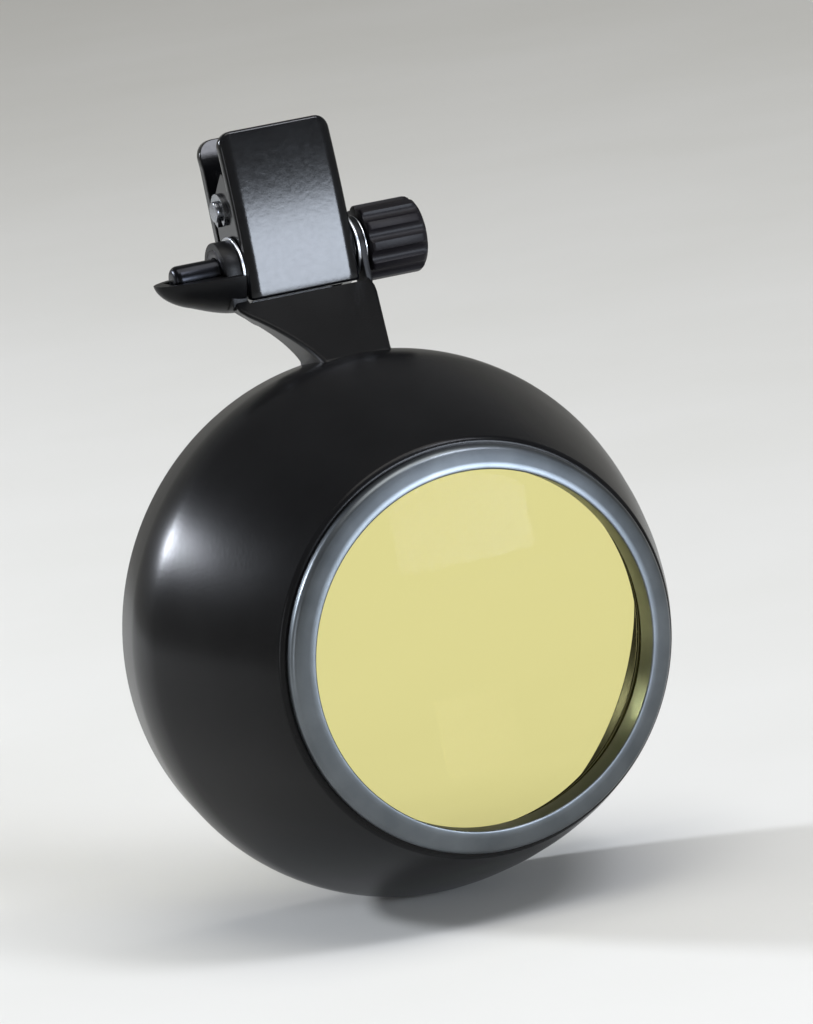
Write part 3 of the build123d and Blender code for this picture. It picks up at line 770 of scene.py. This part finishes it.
def blank(corners, eases, front, thickness, edge_ease, rows=(), columns=(), bend=None):
    """A plate from corners (x, up): rounded, thickened, eased, cut into rows and columns, and bent."""
    bm = bmesh.new()
    points = [bm.verts.new((x, front + thickness, z)) for x, z in corners]
    bm.faces.new(points)
    for point, ease in zip(points, eases):
        round_off(bm, [point], "VERTICES", ease, 8)
    grown = bmesh.ops.extrude_face_region(bm, geom=bm.faces[:])
    moved = [item for item in grown["geom"] if isinstance(item, bmesh.types.BMVert)]
    bmesh.ops.translate(bm, verts=moved, vec=(0, -thickness, 0))
    bmesh.ops.recalc_face_normals(bm, faces=bm.faces)
    ease_sharp(bm, edge_ease, 3)
    for height in rows:
        cut_across(bm, (0, 0, height), (0, 0, 1))
    for across in columns:
        cut_across(bm, (across, 0, 0), (1, 0, 0))
    if bend:
        for point in bm.verts:
            point.co.y += bend(point.co.x, point.co.z)
    return bm


print("press ready")

# %% [markdown]
# ## Jaw cheeks
#
# Two cheeks stand behind each plate and carry the axle and the pin. Their outline runs tangent from
# one round boss to the next, like a belt round pulleys. That is a convex hull, and an operator makes
# it: short rods are placed at the bosses, and the hull is drawn tight round them. Its faces that lie
# in one plane are then dissolved into one.

# %% The cheek helper
level_turn = Matrix.Rotation(math.radians(90), 3, "Y")
flat_degrees = 0.6  # faces that meet flatter than this become one


def cheek(rods, near, far, ease):
    """A flat cheek drawn tight round rods, each (back, up, radius), that run from near to far."""
    bm = bmesh.new()
    for back, height, radius in rods:
        bar(bm, radius, far - near, 48, ((near + far) / 2, back, height), level_turn)
    hull = bmesh.ops.convex_hull(bm, input=bm.verts)
    kept = set(hull["geom"])
    bmesh.ops.delete(bm, geom=[face for face in bm.faces if face not in kept], context="FACES")
    loose = [point for point in bm.verts if not point.link_faces]
    bmesh.ops.delete(bm, geom=loose, context="VERTS")
    flat = math.radians(flat_degrees)
    bmesh.ops.dissolve_limit(bm, angle_limit=flat, verts=bm.verts, edges=bm.edges)
    bmesh.ops.recalc_face_normals(bm, faces=bm.faces)
    ease_sharp(bm, ease, 2)
    return bm


print("cheeks ready")

# %% [markdown]
# ## Tilt arm: the web
#
# The arm is one moulding. Its web is a wedge that runs down from the hinge and spreads over the
# roof of the cup, wide at the hinge and waisted below it. It grows here from one face: each step
# extrudes the last face and sets its four corners on the next station, where a short formula gives
# the left and right outline at that height. Then its long edges get a mould's small radius.

# %% Grow the web
arm_place = Matrix.Translation(axle_point) @ in_mm
arm_clear_radius = 3.5
web_stations = 14
foot_sink = 1.5
arm_ease = 0.45
web_top = (Vector((-1.4, -1.51)), Vector((-10.65, -6.13)))
web_under = (Vector((-0.5, -2.65)), Vector((-5.45, -6.62)))
waist_up, neck_up = -7.0, -2.6  # the outlines change between these two heights
waist = Vector((-2.5, 2.1))  # left and right
neck = Vector((-5.7, 4.95))
left_bow = 0.78677  # how far the left outline bows in


def sides_at(height):
    """The left and right outline at a height: the left one is bowed, and the right one straight."""
    share = min(1.0, max(0.0, (height - waist_up) / (neck_up - waist_up)))
    left, right = waist.lerp(neck, share)
    return left + left_bow * 4 * share * (1 - share), right


def station(share):
    """The web's four corners at a share of its length."""
    high = web_top[0].lerp(web_top[1], share)
    low = web_under[0].lerp(web_under[1], share)
    left, right = sides_at(high.y)
    low_left, low_right = sides_at(low.y)
    return [
        (left, high.x, high.y), (right, high.x, high.y),
        (low_right, low.x, low.y), (low_left, low.x, low.y),
    ]


def corner_at(point, share):
    """Which of the four corners of a station a point stands on."""
    away = [(Vector(corner) - point).length for corner in station(share)]
    return away.index(min(away))


web_bm = bmesh.new()
last_face = web_bm.faces.new([web_bm.verts.new(corner) for corner in station(0.0)])
for k in range(1, web_stations + 1):
    order = [corner_at(vert.co, (k - 1) / web_stations) for vert in last_face.verts]
    grown = bmesh.ops.extrude_discrete_faces(web_bm, faces=[last_face])
    last_face = grown["faces"][0]
    for vert, at in zip(last_face.verts, order):
        vert.co = station(k / web_stations)[at]
sunk = bmesh.ops.extrude_discrete_faces(web_bm, faces=[last_face])
bmesh.ops.translate(web_bm, verts=sunk["faces"][0].verts[:], vec=(0, 0, -foot_sink))
bmesh.ops.recalc_face_normals(web_bm, faces=web_bm.faces)
ease_sharp(web_bm, arm_ease, 6, above_degrees=55.0)


def close_up(bm):
    """Fills every open edge loop, and turns all faces outwards."""
    bmesh.ops.holes_fill(bm, edges=[edge for edge in bm.edges if edge.is_boundary])
    bmesh.ops.recalc_face_normals(bm, faces=bm.faces)


close_up(web_bm)
tilt_arm = settle(web_bm, "tilt_arm_moulded", arm_place, "loupe", "tilt_arm", arm_plastic)

# %% [markdown]
# ## Tilt arm: ears and cradle
#
# Two ears carry the axle. Each is drawn tight round a boss and two thin rods inside the web's top,
# so it runs into the web. On the left a pointed cradle, like half the bow of a boat, lies under the
# end of the screw. It is half a turned shape, cut level just under the axle. Then the ways for the
# clip, the screw and the insert are drilled, and the cup's own form is cut off the arm's foot.

# %% Add the ears, the cradle and the openings of the arm
past = 0.05  # how far a shape runs past a face that it cuts or joins, so that no skin is left
hair = 0.005  # the least by which a cutter's end misses a face, so that the two never coincide
ear_in = span("thrust_washer_right")[1]
right_ear_out = ear_in + 0.5
left_ear_out = ear_in + 1.2
ear_ease = 0.08
ear_rods = [(0, 0, 2.1), (-2.2, -2.3, 0.3), (-1.3, -2.4, 0.3)]
for near, far in ((ear_in, right_ear_out), (-left_ear_out, -ear_in)):
    carve(tilt_arm, arm_place, cheek(ear_rods, near, far, ear_ease), "UNION")

cradle_ease = 0.12
cradle_below = 0.15  # from the axle's middle down to the level cut
cradle_tip = (-10.4, 0.0)
cradle_mid = (-7.9, 2.15)
cradle_root = (-ear_in - past, 3.05)
bow = geometry.interpolate_bezier(cradle_tip, (-10.4, 0.85), (-9.3, 1.75), cradle_mid, 12)
bow += geometry.interpolate_bezier(cradle_mid, (-6.9, 2.55), (-5.6, 3.05), cradle_root, 12)[1:]
cradle_section = [(point.y, point.x, 0) for point in bow[:-1]]
cradle_section += [(cradle_root[1], cradle_root[0], cradle_ease), (0, cradle_root[0], 0)]
cradle_bm = turn_outline(cradle_section, closed=False, steps=96)
cut_across(cradle_bm, (0, -cradle_below, 0), (0, 1, 0), clear=True)
close_up(cradle_bm)
carve(tilt_arm, axle_place, cradle_bm, "UNION")


def drill(piece, place, near, far, radius, segments=96):
    """Cuts a round way along the axle or the pin, from near to far."""
    bm = bmesh.new()
    bar(bm, radius, far - near, segments, (0, 0, (near + far) / 2))
    carve(piece, place, bm)


screw_way_radius = 1.1
screw_way_end = -9.35
insert_way_radius = 1.61
drill(tilt_arm, axle_place, hair - ear_in, ear_in - hair, arm_clear_radius)
drill(tilt_arm, axle_place, screw_way_end, right_ear_out + past, screw_way_radius, 72)
drill(tilt_arm, axle_place, -left_ear_out - hair, past - ear_in, insert_way_radius, 72)
cup_solid = [(0, cup_section[0][1], 0)] + cup_section[:outer_rows] + [(0, nose[1], 0)]
carve(tilt_arm, cup_place, turn_outline(cup_solid, closed=False, steps=192, ease_steps=10))
even_shading(tilt_arm)
print("arm faces:", len(tilt_arm.data.polygons))

# %% [markdown]
# ## Arm screws
#
# Two small pan-head screws hold the arm from inside the cup. Each is turned, then slotted.

# %% Make the arm screws
screw_head = 0.95
screw_head_high = 0.6
screw_shank = 0.5
screw_grip = 3.2
slot_wide = 0.25
slot_deep = 0.25
arm_screw_section = [
    (0, -screw_head_high, 0),
    (screw_head, -screw_head_high, 0.22),
    (screw_head, -seat_clear, 0.03),
    (screw_shank, -seat_clear, 0),
    (screw_shank, screw_grip, 0.1),
    (0, screw_grip, 0),
]
arm_screws = None
for side in (-1, 1):
    seat = cup_point + Vector((side * pocket_half_pitch, pocket_behind, pocket_roof)) * MM
    screw_place = Matrix.Translation(seat) @ in_mm
    one_bm = turn_outline(arm_screw_section, closed=False, steps=48, ease_steps=5)
    if arm_screws is None:
        arm_screws = settle(
            one_bm, "arm_screws_slotted", screw_place, "loupe", "arm_screws",
            black_screw_metal,
        )
    else:
        carve(arm_screws, screw_place, one_bm, "UNION")
    slot_bm = bmesh.new()
    bmesh.ops.create_cube(slot_bm, size=1)
    bmesh.ops.scale(slot_bm, verts=slot_bm.verts, vec=(slot_wide, screw_head * 3, slot_deep * 2))
    bmesh.ops.translate(slot_bm, verts=slot_bm.verts, vec=(0, 0, -screw_head_high))
    carve(arm_screws, screw_place, slot_bm)
even_shading(arm_screws)
print("arm screws faces:", len(arm_screws.data.polygons))

# %% [markdown]
# ## Front jaw
#
# This is the plate that faces the viewer, with its two cheeks and, low down between them, the
# tongue that carries the pad. The tongue tapers to the width of a spectacle rim. The parts are
# joined into one piece, since the real jaw is one folded blank.

# %% The front jaw's sizes and its curve
half_width = 4.2
plate_low, plate_high = -2.5, 9.5
plate_front = -2.0
plate_sheet = 0.8
plate_bulge = 0.3
plate_rows = 20
roll_start, roll_depth, roll_columns = 3.3, 0.25, 6
tongue_sheet = 0.7
tongue_front = 1.05
tip_low, tip_high, tip_half = -3.9, -1.75, 2.4
pin_back, pin_up = 0.5, 4.2
sleeve_way_radius = 1.6
pin_seat_radius = 0.76
drill_reach = 12


def bulged(across, height):
    """How far back the press carries the plate: a shallow curve up it, and its sides rolled over."""
    share = (height - plate_low) / (plate_high - plate_low)
    rolled = max(0.0, abs(across) - roll_start) / (half_width - roll_start)
    return roll_depth * rolled**2 - plate_bulge * 4 * share * (1 - share)


def rows_between(low, high, count):
    """The cuts that part a stretch into a number of equal rows."""
    return [low + (high - low) * k / count for k in range(1, count)]


def tip_outline(inset):
    """The tapered outline that both jaw tips and both pads share."""
    return [
        (inset - half_width, tip_high - inset),
        (inset - tip_half, tip_low + inset),
        (tip_half - inset, tip_low + inset),
        (half_width - inset, tip_high - inset),
    ]


print("front plate bulges", round(-bulged(0, (plate_low + plate_high) / 2), 2), "mm")

# %% [markdown]
# The plate is pressed first. Then the two cheeks and the tongue are joined on, and the ways for the
# sleeve and the pin are drilled through both cheeks at once.

# %% Make the front jaw
plate_corners = [
    (-half_width, plate_low), (half_width, plate_low),
    (half_width, plate_high), (-half_width, plate_high),
]
roll_lines = [roll_start] + rows_between(roll_start, half_width, roll_columns)
plate_bm = blank(
    plate_corners, (0.3, 0.3, 1.0, 1.0), plate_front, plate_sheet, 0.2,
    rows_between(plate_low, plate_high, plate_rows), [-x for x in roll_lines] + roll_lines, bulged,
)
front_jaw = settle(
    plate_bm, "front_jaw_pressed", clip_place, "clip", "front_jaw", jaw_enamel,
)
behind_plate = plate_front + plate_sheet + 0.25
front_rods = [
    (0, 0, 2.05),
    (pin_back, pin_up, 1.3),
    (behind_plate, -1.9, 0.4),
    (behind_plate, 6.3, 0.4),
    (tongue_front + 0.1, -2.3, 0.5),
]
for near in (-half_width, half_width - plate_sheet):
    carve(front_jaw, clip_place, cheek(front_rods, near, near + plate_sheet, 0.06), "UNION")
tongue_bm = blank(tip_outline(0), (0.2, 0.8, 0.8, 0.2), tongue_front, tongue_sheet, 0.05)
carve(front_jaw, clip_place, tongue_bm, "UNION")
drill(front_jaw, axle_place, -drill_reach, drill_reach, sleeve_way_radius)
drill(front_jaw, pin_place, -drill_reach, drill_reach, pin_seat_radius, 72)
even_shading(front_jaw)
print("front jaw faces:", len(front_jaw.data.polygons))

# %% [markdown]
# ## Rear jaw
#
# The rear jaw is the lever that fingers squeeze. Its top flares back a little, to give the finger a
# hold. Below the pin its plate steps back to make room for the pad, and the step is an S-bend of
# equal radii, as a press tool leaves it. A smooth ramp between two heights comes very near to it.

# %% Make the rear jaw
rear_front = 2.3
rear_sheet = 0.7
rear_top = 9.4
tip_face = 2.85
bend_low, bend_high = -1.15, 0.95
rear_shoulder = tip_high + 0.6
rear_ease = 1.3
rear_cheek_half = 3.2
pin_way_radius = 0.8
flare_low = 6.8
flare_back = 0.55


def stepped(across, height):
    """How far back the plate's lower part and its flared top stand at a height."""
    share = min(1.0, max(0.0, (height - bend_low) / (bend_high - bend_low)))
    flare = max(0.0, (height - flare_low) / (rear_top - flare_low))
    return (tip_face - rear_front) * (1 - share * share * (3 - 2 * share)) + flare_back * flare**2


rear_corners = [
    (-half_width, rear_top), (-half_width, rear_shoulder), (-tip_half, tip_low),
    (tip_half, tip_low), (half_width, rear_shoulder), (half_width, rear_top),
]
rear_bm = blank(
    rear_corners, (rear_ease, 0.3, 0.8, 0.8, 0.3, rear_ease), rear_front, rear_sheet, 0.08,
    rows_between(bend_low, bend_high, 10) + rows_between(flare_low, rear_top, 6), bend=stepped,
)
rear_jaw = settle(
    rear_bm, "rear_jaw_pressed", clip_place, "jaw", "rear_jaw", jaw_enamel,
)
rear_rods = [
    (pin_back, pin_up, 1.15),
    (rear_front + 0.05, pin_up - 1.7, 0.3),
    (rear_front + 0.05, pin_up + 1.7, 0.3),
]
for near in (-rear_cheek_half, rear_cheek_half - rear_sheet):
    carve(rear_jaw, clip_place, cheek(rear_rods, near, near + rear_sheet, 0.05), "UNION")
drill(rear_jaw, pin_place, -drill_reach, drill_reach, pin_way_radius, 72)
even_shading(rear_jaw)
print("rear jaw faces:", len(rear_jaw.data.polygons))

# %% [markdown]
# ## Pads
#
# Two thin rubber facings keep steel off the glasses. They follow the tapered tips, a little inside
# their edge, and are soft, so their edges are well rounded.

# %% Make the pads
pad_thick = 0.45
pad_inset = 0.35
pads = [
    ("front_pad_facing", "front_pad", "clip", tongue_front + tongue_sheet),
    ("rear_pad_facing", "rear_pad", "jaw", tip_face - pad_thick),
]
for name, node, body, front in pads:
    pad_bm = blank(tip_outline(pad_inset), (0.15, 0.45, 0.45, 0.15), front, pad_thick, 0.14)
    pad = settle(pad_bm, name, clip_place, body, node, pad_rubber)
    even_shading(pad)

# %% [markdown]
# ## Jaw pin and its clip
#
# The jaws turn on a small pin with a low head at one end. At the other end a snap clip sits in a
# groove and keeps the pin from walking out. The clip is an open ring, so its section is a face that
# is spun through less than a full turn, which leaves both ends closed.

# %% Make the pin and its clip
pin_near, pin_far = span("jaw_pin")
pin_radius = 0.75
pin_head_radius = 1.05
head_high = 0.22
groove_radius = 0.5
clip_near, clip_far = span("pin_clip")
pin_section = [
    (0, pin_near, 0),
    (pin_radius, pin_near, 0.1),
    (pin_radius, clip_near, 0.02),
    (groove_radius, clip_near, 0),
    (groove_radius, clip_far, 0),
    (pin_radius, clip_far, 0),
    (pin_radius, pin_far - head_high, 0),
    (pin_head_radius, pin_far - head_high, 0.03),
    (pin_head_radius, pin_far, 0.1),
    (0, pin_far, 0),
]
pin_bm = turn_outline(pin_section, closed=False, steps=64)
settle(pin_bm, "jaw_pin_headed", pin_place, "clip", "jaw_pin", pin_metal)

snap_radius = 1.25
mouth_degrees = 56.0
snap_bm = bmesh.new()
square = [
    (groove_radius, clip_near), (snap_radius, clip_near),
    (snap_radius, clip_far), (groove_radius, clip_far),
]
points = [snap_bm.verts.new((radius, 0, along)) for radius, along in square]
snap_bm.faces.new(points)
bmesh.ops.rotate(
    snap_bm, verts=snap_bm.verts,
    matrix=Matrix.Rotation(-math.pi / 2 - clip_lean + math.radians(mouth_degrees / 2), 3, "Z"),
)
bmesh.ops.spin(
    snap_bm, geom=snap_bm.faces[:], cent=(0, 0, 0), axis=(0, 0, 1),
    angle=math.radians(360 - mouth_degrees), steps=48,
)
bmesh.ops.remove_doubles(snap_bm, verts=snap_bm.verts, dist=weld_gap)
bmesh.ops.recalc_face_normals(snap_bm, faces=snap_bm.faces)
settle(snap_bm, "pin_clip_snap", pin_place, "clip", "pin_clip", pin_metal)

# %% [markdown]
# ## Jaw spring
#
# A torsion spring of hard wire closes the jaws. The spin operator makes it when each step also
# moves along the axis: a circle of wire thickness goes round three and a half times and climbs as
# it goes. The two ends are then drawn out straight, up along the inside of each plate. When the
# jaws open, one leg turns with the rear jaw and the coil takes up the twist. Here the piece is
# fixed to neither jaw and keeps its one shape.

# %% Wind the jaw spring
wire_radius = 0.25
coil_radius = 1.2
coil_pitch = 0.96
coil_turns = 3.5
turn_steps = 40
leg_length = 3.0
coil_start = -coil_turns / 2 * coil_pitch
coil_rise = coil_pitch / turn_steps
leg_lean = 5 * coil_rise  # sideways for each millimetre up

spring_bm = bmesh.new()
section = bmesh.ops.create_circle(spring_bm, cap_ends=False, segments=16, radius=wire_radius)
bmesh.ops.rotate(spring_bm, verts=section["verts"], matrix=upright_turn)
bmesh.ops.translate(spring_bm, verts=section["verts"], vec=(-coil_radius, 0, coil_start))
first_ring = spring_bm.edges[:]
wound = bmesh.ops.spin(
    spring_bm, geom=spring_bm.verts[:] + spring_bm.edges[:], cent=(0, 0, 0), axis=(0, 0, 1),
    dvec=(0, 0, coil_rise), angle=coil_turns * 2 * math.pi, steps=round(coil_turns * turn_steps),
)
last_ring = [item for item in wound["geom_last"] if isinstance(item, bmesh.types.BMEdge)]
for ring, side in ((first_ring, -1), (last_ring, 1)):
    leg = bmesh.ops.extrude_edge_only(spring_bm, edges=ring)
    tip = [item for item in leg["geom"] if isinstance(item, bmesh.types.BMVert)]
    bmesh.ops.translate(spring_bm, verts=tip, vec=(0, leg_length, side * leg_length * leg_lean))
    rim = [item for item in leg["geom"] if isinstance(item, bmesh.types.BMEdge)]
    rim = [edge for edge in rim if all(v in tip for v in edge.verts)]
    bmesh.ops.edgeloop_fill(spring_bm, edges=rim)
bmesh.ops.recalc_face_normals(spring_bm, faces=spring_bm.faces)
in_clip = Matrix.Rotation(-clip_lean, 4, "Z")
spring = settle(
    spring_bm, "jaw_spring_wound", pin_place @ in_clip, None, "jaw_spring", wire_metal,
)
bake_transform(spring)

# %% [markdown]
# ## Floor
#
# The loupe stands on a pale sheet of card that sweeps up far behind it, so that no edge shows. A
# round sweep looks the same from every side. Card is dull, with a faint fibre.

# %% Lay the floor
floor_level = cup_low.z / MM
flat_reach, sweep_ease = 1400, 700
edge_reach, edge_high = 1800, 900
floor_corners = [
    (0, floor_level, 0), (flat_reach, floor_level, sweep_ease), (edge_reach, floor_level + edge_high, 0),
]
floor_bm = turn_outline(floor_corners, closed=False, steps=96, ease_steps=12)
card, tree, where = start("pale_card", IOR=1.4, Roughness=0.9)
fibre = add(tree, "ShaderNodeTexNoise", {"Scale": per(40.0), "Detail": 6.0}, {"Vector": where})
two_tones(tree, fibre, "d9d8d3", "dddcd8")
for face in floor_bm.faces:
    face.smooth = True
    if face.normal.z < 0:
        face.normal_flip()
floor_mesh = bpy.data.meshes.new("floor")
bmesh.ops.transform(floor_bm, matrix=in_mm, verts=floor_bm.verts)
floor_bm.to_mesh(floor_mesh)
floor_bm.free()
floor_mesh.materials.append(card)
floor = show("floor", floor_mesh)
print("floor at", round(floor_level, 2), "mm")

# %% [markdown]
# ## Light
#
# A black object is lit by what it mirrors. A round lamp high at the left and behind gives the one
# soft highlight on the dome. A soft box low at the right in front is mirrored by the curved plate,
# which shows it in its lower part and turns black above. A tall strip at the left draws the thin
# line along the ring, and a small box high in front lights the flared corner of the rear jaw. A wide
# box overhead and a pale room fill the rest, dim enough to leave the black black.

# %% Place the lamps
def lamp(name, direction, distance_mm, width_mm, height_mm, radiance, colour, shape="RECTANGLE"):
    """A soft lamp in a direction from the cup, aimed at it, as bright as its surface should look."""
    data = bpy.data.lights.new(name, "AREA")
    data.shape = shape
    data.size = width_mm * MM
    data.size_y = height_mm * MM
    area = data.size * data.size_y * (math.pi / 4 if shape == "ELLIPSE" else 1)
    data.energy = radiance * math.pi * area
    data.color = linear(colour)[:3]
    made = show(name, data)
    toward_lamp = Vector(direction).normalized()
    made.rotation_mode = "QUATERNION"
    made.rotation_quaternion = toward_lamp.to_track_quat("Z", "Y")
    made.location = cup_point + toward_lamp * distance_mm * MM


lamp("dome_lamp", (-0.654, 0.653, 0.381), 450, 70, 70, 130.0, "eef4ff", "ELLIPSE")
lamp("plate_box", (0.353, -0.928, 0.122), 500, 150, 139, 28.0, "e6f0ff")
lamp("ring_strip", (-0.89, -0.337, 0.05), 450, 50, 260, 7.0, "f4f7ff")
lamp("overhead", (0.0, -0.15, 1.0), 1300, 900, 900, 3.2, "fffdf8")
lamp("high_box", (0.325, -0.508, 0.798), 317, 70, 110, 15.0, "f1f4ff")

room_strength = 0.26
world = bpy.data.worlds.new("pale_room")
world.use_nodes = True
room = world.node_tree.nodes["Background"]
room.inputs["Color"].default_value = linear("f2f3f5")
room.inputs["Strength"].default_value = room_strength
bpy.context.scene.world = world
bpy.context.scene.view_settings.view_transform = "Standard"
print("lamps and room set")

# %% [markdown]
# ## End
#
# Nothing is drawn after the lamps and the room.

# %% Finish
print("script finished")
